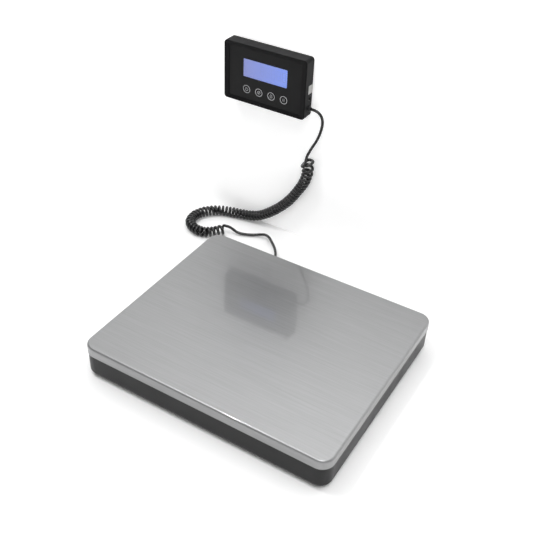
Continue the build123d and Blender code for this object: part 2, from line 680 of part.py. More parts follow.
def main_board_screws():
    """Four small screws that hold the main board to the front shell."""
    back = MAIN_BOARD_FACE + MAIN_BOARD_T
    screws = []
    for x, z in MAIN_BOARD_SCREWS:
        screw = rod(x, z, 2 * MAIN_BOARD_SCREW_R, back, back + 1.3)
        screw += rod(x, z, MAIN_BOARD_SCREW_R, INNER_FACE + 0.8, back)
        screw -= block((x - 1.5, back + 0.7, z - 0.3), (x + 1.5, back + 2, z + 0.3))
        screws.append(screw)
    return group(screws)


def board_chips():
    """The chips and capacitors on the back of the main board."""
    back = MAIN_BOARD_FACE + MAIN_BOARD_T
    chips = [
        block((x, back, z), (x + w, back + t, z + h))
        for x, z, w, h, t in ((-146, 232, 10, 10, 1.4), (-104, 250, 8, 5, 1.5), (-104, 236, 5, 6, 1.5))
    ]
    chips += [rod(x, z, 2.5, back, back + 5.4) for x, z in ((-92, 262), (-92, 254))]
    return group(chips)


def buzzer():
    """The round sounder on the back of the main board."""
    back = MAIN_BOARD_FACE + MAIN_BOARD_T
    return rod(-146, 219, 4.5, back, back + 3.6) - rod(-146, 219, 0.8, back + 2.5, back + 5)


def tact_switches():
    """Four switches on the front of the main board, one behind each key."""
    switches = []
    for x in key_places():
        front = MAIN_BOARD_FACE - SWITCH_BODY_H
        body = block((x - 3, front, KEY_Z - 3), (x + 3, MAIN_BOARD_FACE, KEY_Z + 3))
        switches.append(body + rod(x, KEY_Z, 1.7, MAIN_BOARD_FACE - SWITCH_H, front))
    return group(switches)


def key(x):
    """A round key: cap, flange behind the front wall, and stem on its switch."""
    cap = rod(x, KEY_Z, KEY_R, PANEL_FACE, INNER_FACE + 0.06)
    cap = fillet(cap.edges().filter_by(GeomType.CIRCLE).sort_by(Axis.Y)[0], 0.15)
    flange = rod(x, KEY_Z, KEY_FLANGE_R, INNER_FACE + 0.06, INNER_FACE + 0.8)
    stem_end = MAIN_BOARD_FACE - SWITCH_H - KEY_TRAVEL - 0.05
    return cap + flange + rod(x, KEY_Z, 2.0, INNER_FACE + 0.8, stem_end)


def batteries():
    """Two AAA cells side by side, one each way up."""
    top = BAY[3] - 0.5
    cells = []
    for x, up in zip(BATTERY_X, (True, False)):
        can = disc(CELL_R, 0, CELL_L - CELL_NUB_L)
        can = fillet(can.edges().filter_by(GeomType.CIRCLE), 0.5)
        cell = can + disc(CELL_NUB_R, CELL_L - CELL_NUB_L, CELL_L)
        if up:
            cells.append(Pos(x, BATTERY_Y, top - CELL_L) * cell)
        else:
            cells.append(Pos(x, BATTERY_Y, top) * Rot(180, 0, 0) * cell)
    return group(cells)


def battery_contacts():
    """A bridge at the top of the bay and a sprung leaf under each cell."""
    x0, z0, x1, z1 = BAY
    bridge = block((x0 + 1, BATTERY_Y - 3.5, z1 - 0.5), (x1 - 1, BATTERY_Y + 3.5, z1))
    gap = z1 - 0.5 - CELL_L - z0
    outline = make_face(Polyline(
        (-3.5, 0), (3.5, 0), (3.5, 0.4), (-3.1, 0.4), (-3.1, gap - 0.9), (3.2, gap - 0.4), (3.2, gap),
        (-3.5, gap - 0.5), close=True))
    leaf = extrude(Plane.XZ * outline, 3, both=True)
    return group([bridge] + [Pos(x, BATTERY_Y, z0) * leaf for x in BATTERY_X])


def battery_door():
    """The door over the batteries; it slides down and off."""
    door = case_block() & door_opening(DOOR_PLAY)
    middle = (BAY[0] + BAY[2]) / 2
    for z in GRIP_Z:
        door -= block((middle - 6.5, BACK - 0.4, z), (middle + 6.5, BACK + 1, z + 0.8))
    return door


def dc_jack():
    """The power socket in the right side."""
    right = DISPLAY_X + DISPLAY_W / 2
    half = JACK_SIDE / 2
    inner = right - CASE_WALL
    body = block((inner - JACK_DEPTH, SIDE_PORT_Y - half, JACK_Z - half),
                 (inner, SIDE_PORT_Y + half, JACK_Z + half))
    axis = Pos(inner, SIDE_PORT_Y, JACK_Z) * Rot(0, 90, 0)
    jack = body + axis * disc(JACK_NOSE_R, -1, CASE_WALL - 0.4)
    jack -= axis * disc(JACK_BORE_R, -9.5, 5)
    return jack + axis * disc(JACK_PIN_R, -10, 0.2)


def side_label():
    """A blank sticker on the right side."""
    right = DISPLAY_X + DISPLAY_W / 2
    return block((right, SIDE_LABEL_Y[0], SIDE_LABEL_Z[0]),
                 (right + SIDE_LABEL_T, SIDE_LABEL_Y[1], SIDE_LABEL_Z[1]))


def display_gland():
    """The strain relief where the cord leaves the display."""
    right = DISPLAY_X + DISPLAY_W / 2
    inner = right - CASE_WALL
    tip = UPPER_LEAD[0][0]
    start = inner - GLAND_INNER_T
    profile = make_face(Polyline(
        (0, start), (4.2, start), (4.2, inner), (3.2, inner), (3.2, right), (4.3, right),
        (4.3, right + 0.8), (3.5, right + 1.4), (RELIEF_TIP_R, tip), (0, tip), close=True))
    turned = revolve(profile, Axis.Y, 360)
    return Pos(0, SIDE_PORT_Y, CORD_Z) * Rot(0, 0, -90) * turned


def display_sockets():
    """Two connectors on the back of the main board, for the cord and for the power socket."""
    back = MAIN_BOARD_FACE + MAIN_BOARD_T
    places = ((CORD_SOCKET_Z, 4.0), (JACK_Z, 3.6))
    return group(
        block((DISPLAY_SOCKET_X - SOCKET_D, back, z - half), (DISPLAY_SOCKET_X, back + SOCKET_H, z + half))
        for z, half in places)


def display_pigtail():
    """The cord's end inside the display, from the gland to its connector."""
    start = DISPLAY_X + DISPLAY_W / 2 - CASE_WALL - GLAND_INNER_T
    points = [
        (start, SIDE_PORT_Y, CORD_Z), (start - 5, SIDE_PORT_Y, CORD_Z),
        (DISPLAY_SOCKET_X + 5, SIDE_PORT_Y, CORD_SOCKET_Z), (DISPLAY_SOCKET_X, SIDE_PORT_Y, CORD_SOCKET_Z),
    ]
    return tube(points, 3.0, "display pigtail")


def jack_leads():
    """Two straight wires from the power socket to its connector."""
    start = DISPLAY_X + DISPLAY_W / 2 - CASE_WALL - JACK_DEPTH
    middle = (start + DISPLAY_SOCKET_X) / 2
    wire = Rot(0, 90, 0) * Cylinder(0.65, start - DISPLAY_SOCKET_X)
    return group(Pos(middle, SIDE_PORT_Y, z) * wire for z in (JACK_Z - 2, JACK_Z + 2))


def wall_bracket():
    """The bracket screwed to the wall: a plate with a T-shaped tongue that the display drops over."""
    front = WALL_Y - BRACKET_T
    middle_z = BRACKET_BASE + BRACKET_H / 2
    body = slab(Pos(DISPLAY_X, middle_z) * RectangleRounded(BRACKET_W, BRACKET_H, 4), front, WALL_Y)
    head_back = BACK - CASE_WALL - 0.2
    half_neck = NECK_W / 2
    half_head = HEAD_W / 2
    top = TONGUE_Z + TONGUE_H
    body += block((DISPLAY_X - half_neck, head_back - 0.5, TONGUE_Z),
                  (DISPLAY_X + half_neck, front + 0.5, top))
    body += block((DISPLAY_X - half_head, head_back - HEAD_T, TONGUE_Z),
                  (DISPLAY_X + half_head, head_back, top))
    for sign in (-1, 1):
        x = DISPLAY_X + sign * BRACKET_HOLE_PITCH / 2
        body -= rod(x, BRACKET_HOLE_Z, BRACKET_HOLE_R, front - 1, WALL_Y + 1)
    return body


# ------------------------------------------------------------------ all pieces
def pieces():
    """Every node's name and solids."""
    nodes = {
        "platter": platter(),
        "base_tub": base_tub(),
        "support_plate": support_plate(),
        "plate_screws": plate_screws(),
        "platter_pads": platter_pads(),
        "retainer_screws": retainer_screws(),
        "junction_board": junction_board(),
        "junction_board_screws": junction_board_screws(),
        "junction_sockets": junction_sockets(),
        "cell_leads": cell_leads(),
        "rear_gland": rear_gland(),
        "base_pigtail": base_pigtail(),
        "rating_label": rating_label(),
        "display_front_shell": front_shell(),
        "display_rear_shell": rear_shell(),
        "case_screws": case_screws(),
        "overlay_panel": overlay_panel(),
        "lcd_window": lcd_window(),
        "lcd_glass": lcd_glass(),
        "lcd_backlight": lcd_backlight(),
        "main_board": main_board(),
        "main_board_screws": main_board_screws(),
        "board_chips": board_chips(),
        "display_sockets": display_sockets(),
        "buzzer": buzzer(),
        "tact_switches": tact_switches(),
        "batteries": batteries(),
        "battery_contacts": battery_contacts(),
        "battery_door": battery_door(),
        "dc_jack": dc_jack(),
        "jack_leads": jack_leads(),
        "side_label": side_label(),
        "display_gland": display_gland(),
        "display_pigtail": display_pigtail(),
        "wall_bracket": wall_bracket(),
        "cord_upper_lead": tube(UPPER_LEAD, CORD_D, "upper lead"),
        "cord_coil": tube(COIL_AXIS, COIL_D, "coil"),
        "cord_lower_lead": tube(LOWER_LEAD, CORD_D, "lower lead"),
    }
    for corner, (x, y) in cell_places().items():
        nodes[f"load_cell_{corner}"] = load_cell(x, y)
        nodes[f"cell_retainer_{corner}"] = cell_retainer(x, y)
        nodes[f"foot_hub_{corner}"] = foot_hub(x, y)
        nodes[f"foot_pad_{corner}"] = foot_pad(x, y)
    for name, x in zip(KEY_NAMES, key_places()):
        nodes[name] = key(x)
    return nodes


os.makedirs("parts", exist_ok=True)
for name, shape in pieces().items():
    export_step(shape, f"parts/{name}.step")
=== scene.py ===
"""Looks of the platform scale: materials, the curly cord, printed key rings, stage, lights and camera."""

import json
import math

import bpy
from mathutils import Euler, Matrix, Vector


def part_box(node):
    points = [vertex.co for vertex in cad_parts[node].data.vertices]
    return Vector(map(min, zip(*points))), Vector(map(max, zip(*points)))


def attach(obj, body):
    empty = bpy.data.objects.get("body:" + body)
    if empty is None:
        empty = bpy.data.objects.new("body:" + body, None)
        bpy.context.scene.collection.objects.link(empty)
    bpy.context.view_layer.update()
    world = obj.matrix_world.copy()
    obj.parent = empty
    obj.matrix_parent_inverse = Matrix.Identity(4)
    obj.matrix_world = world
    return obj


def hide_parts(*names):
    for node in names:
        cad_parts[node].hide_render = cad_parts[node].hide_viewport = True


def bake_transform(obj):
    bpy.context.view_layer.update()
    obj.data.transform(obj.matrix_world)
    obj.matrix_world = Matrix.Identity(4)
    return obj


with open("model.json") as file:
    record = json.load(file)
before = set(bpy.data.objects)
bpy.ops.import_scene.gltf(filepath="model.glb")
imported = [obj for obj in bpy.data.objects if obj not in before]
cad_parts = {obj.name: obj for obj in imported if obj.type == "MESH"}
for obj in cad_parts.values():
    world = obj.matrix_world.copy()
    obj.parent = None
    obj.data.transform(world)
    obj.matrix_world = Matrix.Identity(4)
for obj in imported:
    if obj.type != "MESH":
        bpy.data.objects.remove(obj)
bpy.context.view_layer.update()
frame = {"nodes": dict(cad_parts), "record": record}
nodes = frame["nodes"]
scene = bpy.context.scene

# ------------------------------------------------------------------ camera
CAMERA_AT = (0.38143, -0.67070, 0.68340)
CAMERA_TURN = (51.974, -2.201, 31.105)      # degrees; the second is the picture's slight lean
LENS = 52.98                                # mm
SENSOR_W = 36.0                             # mm

# ------------------------------------------------------------------ cord, in metres
CORD_D = 0.0040
LEAD_IN = 0.013                             # the stretch of lead that swings out to the first turn
LEAD_OUT = 0.022                            # and the stretch where it runs back to the middle
TURN_IN = 0.004                             # the winding starts and ends over this stretch
WIRE_STEP = 0.0018                          # between two points of the wire
FAST_WOBBLE, FAST_RATE = 0.02, 410          # unevenness as a share of the radius, and radians per metre
SLOW_WOBBLE, SLOW_RATE = 0.015, 173
RADII = [                                   # distance along the coil, and the helix's radius there
    (0.0, 0.0085), (0.0022, 0.0066), (0.030, 0.0062), (0.050, 0.0056), (0.333, 0.0056),
]
PITCHES = [                                 # and its pitch
    (0.0, 0.0088), (0.010, 0.0080), (0.020, 0.0070), (0.032, 0.0060), (0.060, 0.0056), (0.100, 0.0054),
    (0.150, 0.0053), (0.190, 0.0054), (0.215, 0.0056), (0.290, 0.0055), (0.315, 0.0058), (0.333, 0.0070),
]
DROOP = [                                   # and how far the wire hangs beyond its place on the axis
    (-0.012, 0.0), (0.0, 0.0088), (0.0022, -0.0005), (0.0044, -0.0032), (0.0066, -0.0020), (0.013, 0.0),
]
UPPER_ROUTE = [
    (-0.0576, 0.182, 0.2095), (-0.0504, 0.182, 0.2095), (-0.0441, 0.1826, 0.2061), (-0.0403, 0.1832, 0.2),
    (-0.0399, 0.184, 0.1909), (-0.042, 0.1845, 0.18), (-0.046, 0.1845, 0.167), (-0.0525, 0.1845, 0.1545),
    (-0.0578, 0.1845, 0.1433),
]
COIL_ROUTE = [
    (-0.0575, 0.1845, 0.132), (-0.0563, 0.1845, 0.115), (-0.0605, 0.1845, 0.097), (-0.0705, 0.1845, 0.079),
    (-0.082, 0.1845, 0.06), (-0.0975, 0.1845, 0.042), (-0.115, 0.1845, 0.026), (-0.134, 0.184, 0.013),
    (-0.154, 0.182, 0.009), (-0.175, 0.1785, 0.008), (-0.195, 0.172, 0.008), (-0.21, 0.158, 0.008),
    (-0.2175, 0.14, 0.008), (-0.213, 0.121, 0.008), (-0.198, 0.111, 0.008), (-0.181, 0.1105, 0.008),
    (-0.17, 0.12, 0.008), (-0.161, 0.133, 0.008),
]
LOWER_ROUTE = [
    (-0.1568, 0.1376, 0.008), (-0.1503, 0.1403, 0.0072), (-0.1433, 0.1414, 0.0052), (-0.1355, 0.1441, 0.0034),
    (-0.124, 0.1499, 0.0028), (-0.113, 0.1556, 0.0046), (-0.103, 0.1563, 0.008), (-0.0935, 0.1508, 0.01),
    (-0.084, 0.1415, 0.0115), (-0.074, 0.1315, 0.0135), (-0.0655, 0.1205, 0.016), (-0.0585, 0.1095, 0.0185),
    (-0.054, 0.0995, 0.02), (-0.054, 0.0915, 0.02),
]


# ------------------------------------------------------------------ mesh helpers
def new_object(name, vertices, faces, smooth=True):
    """A mesh object from vertices and faces."""
    mesh = bpy.data.meshes.new(name)
    mesh.from_pydata([tuple(v) for v in vertices], [], faces)
    mesh.update()
    for polygon in mesh.polygons:
        polygon.use_smooth = smooth
    piece = bpy.data.objects.new(name, mesh)
    scene.collection.objects.link(piece)
    return piece


def spline_line(points):
    """Points along the NURBS spline that has these control points."""
    data = bpy.data.curves.new("route", "CURVE")
    data.dimensions = "3D"
    data.resolution_u = 24
    spline = data.splines.new("NURBS")
    spline.points.add(len(points) - 1)
    for point, place in zip(spline.points, points):
        point.co = (*place, 1.0)
    spline.order_u = 3
    spline.use_endpoint_u = True
    route = bpy.data.objects.new("route", data)
    scene.collection.objects.link(route)
    bpy.context.view_layer.update()
    line = bpy.data.meshes.new_from_object(route)
    found = [v.co.copy() for v in line.vertices]
    bpy.data.meshes.remove(line)
    bpy.data.objects.remove(route)
    return found


def directions(line):
    """The direction of the line at each of its points."""
    last = len(line) - 1
    return [(line[min(i + 1, last)] - line[max(i - 1, 0)]).normalized() for i in range(len(line))]


def side_vectors(line):
    """A pair of vectors across the line at each point, carried along it without twist."""
    tangents = directions(line)
    side = tangents[0].orthogonal().normalized()
    pairs = []
    for tangent in tangents:
        side = (side - tangent * side.dot(tangent)).normalized()
        pairs.append((side.copy(), tangent.cross(side)))
    return pairs


def distances(line):
    """The distance along the line of each point."""
    total = [0.0]
    for a, b in zip(line, line[1:]):
        total.append(total[-1] + (b - a).length)
    return total


def tube(name, line, radius, around=12):
    """A round tube with closed ends along a line."""
    vertices = []
    for point, (u, v) in zip(line, side_vectors(line)):
        for k in range(around):
            angle = 2 * math.pi * k / around
            vertices.append(point + u * (radius * math.cos(angle)) + v * (radius * math.sin(angle)))
    faces = []
    for i in range(len(line) - 1):
        for k in range(around):
            a = i * around + k
            b = i * around + (k + 1) % around
            faces.append((a, b, b + around, a + around))
    faces.append(tuple(reversed(range(around))))
    last = (len(line) - 1) * around
    faces.append(tuple(range(last, last + around)))
    return new_object(name, vertices, faces)


def joined(meshes):
    """One list of vertices and one of faces from several pairs of such lists."""
    vertices, faces = [], []
    for more, more_faces in meshes:
        faces += [tuple(len(vertices) + k for k in face) for face in more_faces]
        vertices += more
    return vertices, faces


def smooth_step(value):
    """0 below 0, 1 above 1, and an even curve between."""
    value = min(max(value, 0.0), 1.0)
    return value * value * (3 - 2 * value)


# ------------------------------------------------------------------ cord
def nearest(line, place):
    """The index of the line's point nearest to a place."""
    return min(range(len(line)), key=lambda i: (line[i] - Vector(place)).length_squared)


def between(table, value):
    """A value read off a table of (place, value) rows, with an even curve between its rows."""
    for (a, low), (b, high) in zip(table, table[1:]):
        if value <= b:
            return low + (high - low) * smooth_step((value - a) / (b - a))
    return table[-1][1]


def winding(place, length):
    """The helix at a distance along the coil: its radius, and the share of its turning rate there."""
    opening = min(1.0, max(0.0, place + LEAD_IN) / LEAD_IN)
    closing = smooth_step((length + LEAD_OUT - place) / LEAD_OUT)
    wobble = 1 + FAST_WOBBLE * math.sin(place * FAST_RATE) + SLOW_WOBBLE * math.sin(place * SLOW_RATE)
    starting = smooth_step((place + TURN_IN) / TURN_IN)
    ending = smooth_step((length + TURN_IN - place) / TURN_IN)
    return between(RADII, place) * opening * closing * wobble, starting * ending


def facing(pair, direction):
    """The angle round the axis at which the wire lies towards a direction."""
    return math.atan2(pair[1].dot(direction), pair[0].dot(direction))


def wire_steps(start, length, end):
    """Places along the route at even steps of wire, and the wire's turn round the route at each."""
    places, angles = [0.0], [0.0]
    while places[-1] < end:
        radius, turning = winding(places[-1] - start, length)
        rate = 2 * math.pi * turning / between(PITCHES, places[-1] - start)
        step = WIRE_STEP / math.hypot(1.0, radius * rate)
        places.append(places[-1] + step)
        angles.append(angles[-1] + rate * step)
    return places, angles


def wire_line(route):
    """The wire's own line: it follows the route, and winds round it along the coil."""
    travelled = distances(route)
    pairs = side_vectors(route)
    tangents = directions(route)
    first, last = nearest(route, COIL_ROUTE[0]), nearest(route, COIL_ROUTE[-1])
    start, length = travelled[first], travelled[last] - travelled[first]
    places, angles = wire_steps(start, length, travelled[-1])
    start_angle = facing(pairs[first], Vector((-1, 0, 0)))
    end_angle = facing(pairs[last], Vector((0, 0, 1)))
    at_start = next(a for place, a in zip(places, angles) if place >= start)
    turns = angles[-1] - at_start
    spare = (start_angle + turns - end_angle + math.pi) % (2 * math.pi) - math.pi
    scale = 1 - spare / turns                # so that the last turn ends at its own angle
    line, i = [], 0
    for place, angle in zip(places, angles):
        while i < len(route) - 2 and travelled[i + 1] < place:
            i += 1
        share = min(1.0, (place - travelled[i]) / (travelled[i + 1] - travelled[i]))
        middle = route[i].lerp(route[i + 1], share)
        u, v = pairs[i]
        radius, _ = winding(place - start, length)
        turned = start_angle + (angle - at_start) * scale
        dip = between(DROOP, place - start)
        offset = u * (radius * math.cos(turned)) + v * (radius * math.sin(turned))
        line.append(middle + offset + tangents[i] * dip)
    return line


def cord():
    """The whole cord as one tube: lead, coil, lead."""
    line = wire_line(spline_line(UPPER_ROUTE + COIL_ROUTE + LOWER_ROUTE))
    piece = tube("curly_cord", line, CORD_D / 2)
    piece.data.materials.append(material("cord_rubber"))
    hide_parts("cord_upper_lead", "cord_coil", "cord_lower_lead")
    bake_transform(piece)


# ------------------------------------------------------------------ printed rings and marks on the keys
PRINT_H = 0.00006            # raised above the face
RING_R = 0.0051
RING_W = 0.00044
MARK_W = 0.00030


def arc(radius, start, end, steps):
    """Points of an arc in X and Z, in degrees from +X towards +Z."""
    angles = [math.radians(start + (end - start) * i / steps) for i in range(steps + 1)]
    return [(radius * math.cos(a), radius * math.sin(a)) for a in angles]


def ribbon(outline, width, front, back):
    """Vertices and faces of a raised ribbon along a line in X and Z, from Y = front to Y = back."""
    vertices, faces = [], []
    last = len(outline) - 1
    for i, (x, z) in enumerate(outline):
        before, after = outline[max(i - 1, 0)], outline[min(i + 1, last)]
        dx, dz = after[0] - before[0], after[1] - before[1]
        size = math.hypot(dx, dz)
        nx, nz = -dz / size * width / 2, dx / size * width / 2
        vertices += [
            (x + nx, back, z + nz), (x + nx, front, z + nz),
            (x - nx, front, z - nz), (x - nx, back, z - nz),
        ]
    for i in range(last):
        a = 4 * i
        faces += [(a + k, a + 4 + k, a + 4 + (k + 1) % 4, a + (k + 1) % 4) for k in range(4)]
    faces += [(0, 1, 2, 3), tuple(4 * last + k for k in (3, 2, 1, 0))]
    return vertices, faces


def print_piece(name, lines, face, slot_name):
    """One piece made of several raised ribbons (points, width) on a face at Y = face."""
    front, back = face - PRINT_H, face + PRINT_H / 2
    vertices, faces = joined(ribbon(outline, width, front, back) for outline, width in lines)
    piece = new_object(name, vertices, faces, smooth=False)
    piece.data.materials.append(material(slot_name))
    return piece


def key_marks():
    """A simple sign for each key: on and off, zero, change and hold."""
    return {
        "key_power": [arc(0.0021, 125, 415, 30), [(0.0, 0.0006), (0.0, 0.0026)]],
        "key_tare": [arc(0.0019, 0, 360, 36), [(-0.0011, -0.0011), (0.0011, 0.0011)]],
        "key_unit": [arc(0.0021, 20, 160, 20), arc(0.0021, 200, 340, 20), [(-0.0010, 0.0), (0.0010, 0.0)]],
        "key_hold": [[(-0.0009, -0.0017), (-0.0009, 0.0017)], [(0.0009, -0.0017), (0.0009, 0.0017)]],
    }


def key_prints():
    """The grey ring and the sign printed on each key, which move with it."""
    for name, mark in key_marks().items():
        low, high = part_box(name)
        x, z = (low.x + high.x) / 2, (low.z + high.z) / 2
        ring = [(x + a, z + b) for a, b in arc(RING_R, 0, 360, 72)]
        signs = [[(x + a, z + b) for a, b in line] for line in mark]
        lines = [(ring, RING_W)] + [(line, MARK_W) for line in signs]
        piece = print_piece(f"print_{name}", lines, low.y, "key_print")
        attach(piece, name)


# ------------------------------------------------------------------ digits behind the display's window
DIGIT_W = 0.0052
DIGIT_H = 0.0120
DIGIT_PITCH = 0.0082
DIGIT_COUNT = 5
DIGIT_GAP = 0.0004
SEGMENT_W = 0.0008
DIGIT_MARGIN = 0.006         # from the window's right edge to the middle of the last digit
GLASS_GAP = 0.00012          # the digits lie this far in front of the glass


def digit_segments(x, z):
    """The seven segments of a digit whose middle is at x, z."""
    half_w, half_h = DIGIT_W / 2, DIGIT_H / 2
    left, right = x - half_w + DIGIT_GAP, x + half_w - DIGIT_GAP
    segments = [[(left, z + h), (right, z + h)] for h in (-half_h, 0.0, half_h)]
    for side in (-half_w, half_w):
        for low in (-half_h, 0.0):
            segments.append([(x + side, z + low + DIGIT_GAP), (x + side, z + low + half_h - DIGIT_GAP)])
    return segments


def lcd_digits():
    """Faint digits on the lit glass, towards its right end."""
    low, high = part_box("lcd_window")
    z = (low.z + high.z) / 2
    right = high.x - DIGIT_MARGIN
    lines = []
    for i in range(DIGIT_COUNT):
        lines += [(segment, SEGMENT_W) for segment in digit_segments(right - i * DIGIT_PITCH, z)]
    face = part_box("lcd_glass")[0].y
    piece = print_piece("lcd_digits", lines, face - GLASS_GAP, "lcd_segment")
    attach(piece, "display")


# ------------------------------------------------------------------ strain relief ribs
DISPLAY_RIBS = [(0.0008, 0.0025), (0.0016, 0.0027)]     # distance along the relief, and radius there
DISPLAY_RIB_T = 0.0003
REAR_RIBS = [(0.0015, 0.0026), (0.0038, 0.0031), (0.0061, 0.0036), (0.0084, 0.0041)]
REAR_RIB_T = 0.0006


def torus(middle, axis, radius, thickness, around=28, section=8):
    """Vertices and faces of a ring about an axis."""
    u = axis.orthogonal().normalized()
    v = axis.cross(u)
    vertices, faces = [], []
    for i in range(around):
        angle = 2 * math.pi * i / around
        out = u * math.cos(angle) + v * math.sin(angle)
        for k in range(section):
            turn = 2 * math.pi * k / section
            place = middle + out * (radius + thickness * math.cos(turn))
            vertices.append(place + axis * (thickness * math.sin(turn)))
    for i in range(around):
        for k in range(section):
            here, there = i * section, (i + 1) % around * section
            after = (k + 1) % section
            faces.append((here + k, there + k, there + after, here + after))
    return vertices, faces


def relief_ribs(name, body, middle, axis, rows, thickness):
    """Rings along a strain relief; rows are (distance along the axis, radius)."""
    middle, axis = Vector(middle), Vector(axis)
    vertices, faces = joined(torus(middle + axis * along, axis, radius, thickness) for along, radius in rows)
    piece = new_object(name, vertices, faces)
    piece.data.materials.append(material("gland_rubber"))
    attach(piece, body)


def strain_reliefs():
    """Ribs on both strain reliefs."""
    relief_ribs("display_relief_ribs", "display", UPPER_ROUTE[0], (-1.0, 0.0, 0.0), DISPLAY_RIBS,
                DISPLAY_RIB_T)
    relief_ribs("rear_relief_ribs", "base", LOWER_ROUTE[-1], (0.0, -1.0, 0.0), REAR_RIBS, REAR_RIB_T)


# ------------------------------------------------------------------ materials
UNEVEN_SCALE = 22.0          # patches of colour and gloss on plastic, per metre
UNEVEN_COLOR = 0.18          # how much the colour differs, as a share of it
GRAIN_DEPTH = 0.00005
STREAK_ALONG = 14.0          # streaks per metre along the brushing, and across it
STREAK_ACROSS = 700.0
STREAK_COLOR = 0.045         # how much the colour differs, as a share of it
STREAK_GLOSS = 0.03
STREAK_RELIEF = 0.05
STREAK_DEPTH = 0.000004
SHEEN_WEIGHT = 0.4           # of the clear, sharper reflection over the brushed one
SHEEN_ROUGHNESS = 0.05
SHEEN_IOR = 2.1
MOTTLE_SCALE = 260.0         # of plated metal, per metre
MOTTLE_DEPTH = 0.00003
MOTTLE_RELIEF = 0.1
WINDOW_TINT = (0.92, 0.94, 1.0)
WINDOW_IOR = 1.45
SMEAR_SCALE = 60.0           # of the clear window, per metre
LCD_LEFT = (0.218, 0.262, 0.650)
LCD_RIGHT = (0.185, 0.320, 0.98)


def start_material(name, color, roughness, metallic=0.0):
    """A node material with one Principled shader; returns the material, its node tree and the shader."""
    made = bpy.data.materials.new(name)
    made.use_nodes = True
    tree = made.node_tree
    shader = tree.nodes["Principled BSDF"]
    shader.inputs["Base Color"].default_value = (*color, 1.0)
    shader.inputs["Roughness"].default_value = roughness
    shader.inputs["Metallic"].default_value = metallic
    return made, tree, shader


def coordinates(tree, scale):
    """Object coordinates in metres, times a factor along each axis."""
    source = tree.nodes.new("ShaderNodeTexCoord")
    mapping = tree.nodes.new("ShaderNodeMapping")
    mapping.inputs["Scale"].default_value = scale
    tree.links.new(source.outputs["Object"], mapping.inputs["Vector"])
    return mapping.outputs["Vector"]


def noise(tree, scale, detail=3.0, stretch=(1.0, 1.0, 1.0)):
    """Noise with this many patches per metre, stretched by a factor along each axis."""
    texture = tree.nodes.new("ShaderNodeTexNoise")
    texture.inputs["Scale"].default_value = scale
    texture.inputs["Detail"].default_value = detail
    tree.links.new(coordinates(tree, stretch), texture.inputs["Vector"])
    return texture.outputs["Fac"]


def ramp(tree, value, low, high, from_value=0.3, to_value=0.7):
    """A colour ramp between two greys or colours."""
    node = tree.nodes.new("ShaderNodeValToRGB")
    node.color_ramp.elements[0].position = from_value
    node.color_ramp.elements[1].position = to_value
    node.color_ramp.elements[0].color = (*as_color(low), 1.0)
    node.color_ramp.elements[1].color = (*as_color(high), 1.0)
    tree.links.new(value, node.inputs["Fac"])
    return node.outputs["Color"]


def as_color(value):
    """Three numbers from a grey or a colour."""
    return (value, value, value) if isinstance(value, float) else value


def shades(tree, value, color, share):
    """A ramp from a darker to a lighter shade of a colour."""
    darker = tuple(c * (1 - share) for c in color)
    lighter = tuple(min(1.0, c * (1 + share)) for c in color)
    return ramp(tree, value, darker, lighter)


def bump(tree, shader, height, strength, distance):
    """Relief on the shader's surface."""
    node = tree.nodes.new("ShaderNodeBump")
    node.inputs["Strength"].default_value = strength
    node.inputs["Distance"].default_value = distance
    tree.links.new(height, node.inputs["Height"])
    tree.links.new(node.outputs["Normal"], shader.inputs["Normal"])


def plastic(name, color, roughness, grain=1400.0, relief=0.15, spread=0.06, coat=0.0, specular=0.5):
    """Moulded plastic or rubber: fine grain, and slightly uneven colour and gloss."""
    made, tree, shader = start_material(name, color, roughness)
    uneven = noise(tree, UNEVEN_SCALE, 4.0)
    tree.links.new(shades(tree, uneven, color, UNEVEN_COLOR), shader.inputs["Base Color"])
    tree.links.new(ramp(tree, uneven, roughness - spread, roughness + spread), shader.inputs["Roughness"])
    bump(tree, shader, noise(tree, grain, 2.0), relief, GRAIN_DEPTH)
    shader.inputs["Coat Weight"].default_value = coat
    shader.inputs["Specular IOR Level"].default_value = specular
    return made


def streaks_by_side(tree):
    """Streaks along X where the sheet faces up, front or back, and upright ones on its two ends."""
    along_x = noise(tree, 1.0, 6.0, (STREAK_ALONG, STREAK_ACROSS, STREAK_ACROSS))
    upright = noise(tree, 1.0, 6.0, (STREAK_ACROSS, STREAK_ACROSS, STREAK_ALONG))
    geometry = tree.nodes.new("ShaderNodeNewGeometry")
    split = tree.nodes.new("ShaderNodeSeparateXYZ")
    size = tree.nodes.new("ShaderNodeMath")
    size.operation = "ABSOLUTE"
    mix = tree.nodes.new("ShaderNodeMix")
    tree.links.new(geometry.outputs["Normal"], split.inputs["Vector"])
    tree.links.new(split.outputs["X"], size.inputs[0])
    tree.links.new(size.outputs["Value"], mix.inputs["Factor"])
    tree.links.new(along_x, mix.inputs["A"])
    tree.links.new(upright, mix.inputs["B"])
    return mix.outputs["Result"]


def brushed(name, color, roughness):
    """Brushed sheet with a faint, sharper sheen over it."""
    made, tree, shader = start_material(name, color, roughness, metallic=1.0)
    streaks = streaks_by_side(tree)
    tree.links.new(shades(tree, streaks, color, STREAK_COLOR), shader.inputs["Base Color"])
    gloss = ramp(tree, streaks, roughness + STREAK_GLOSS, roughness - STREAK_GLOSS)
    tree.links.new(gloss, shader.inputs["Roughness"])
    bump(tree, shader, streaks, STREAK_RELIEF, STREAK_DEPTH)
    shader.inputs["Coat Weight"].default_value = SHEEN_WEIGHT
    shader.inputs["Coat Roughness"].default_value = SHEEN_ROUGHNESS
    shader.inputs["Coat IOR"].default_value = SHEEN_IOR
    return made


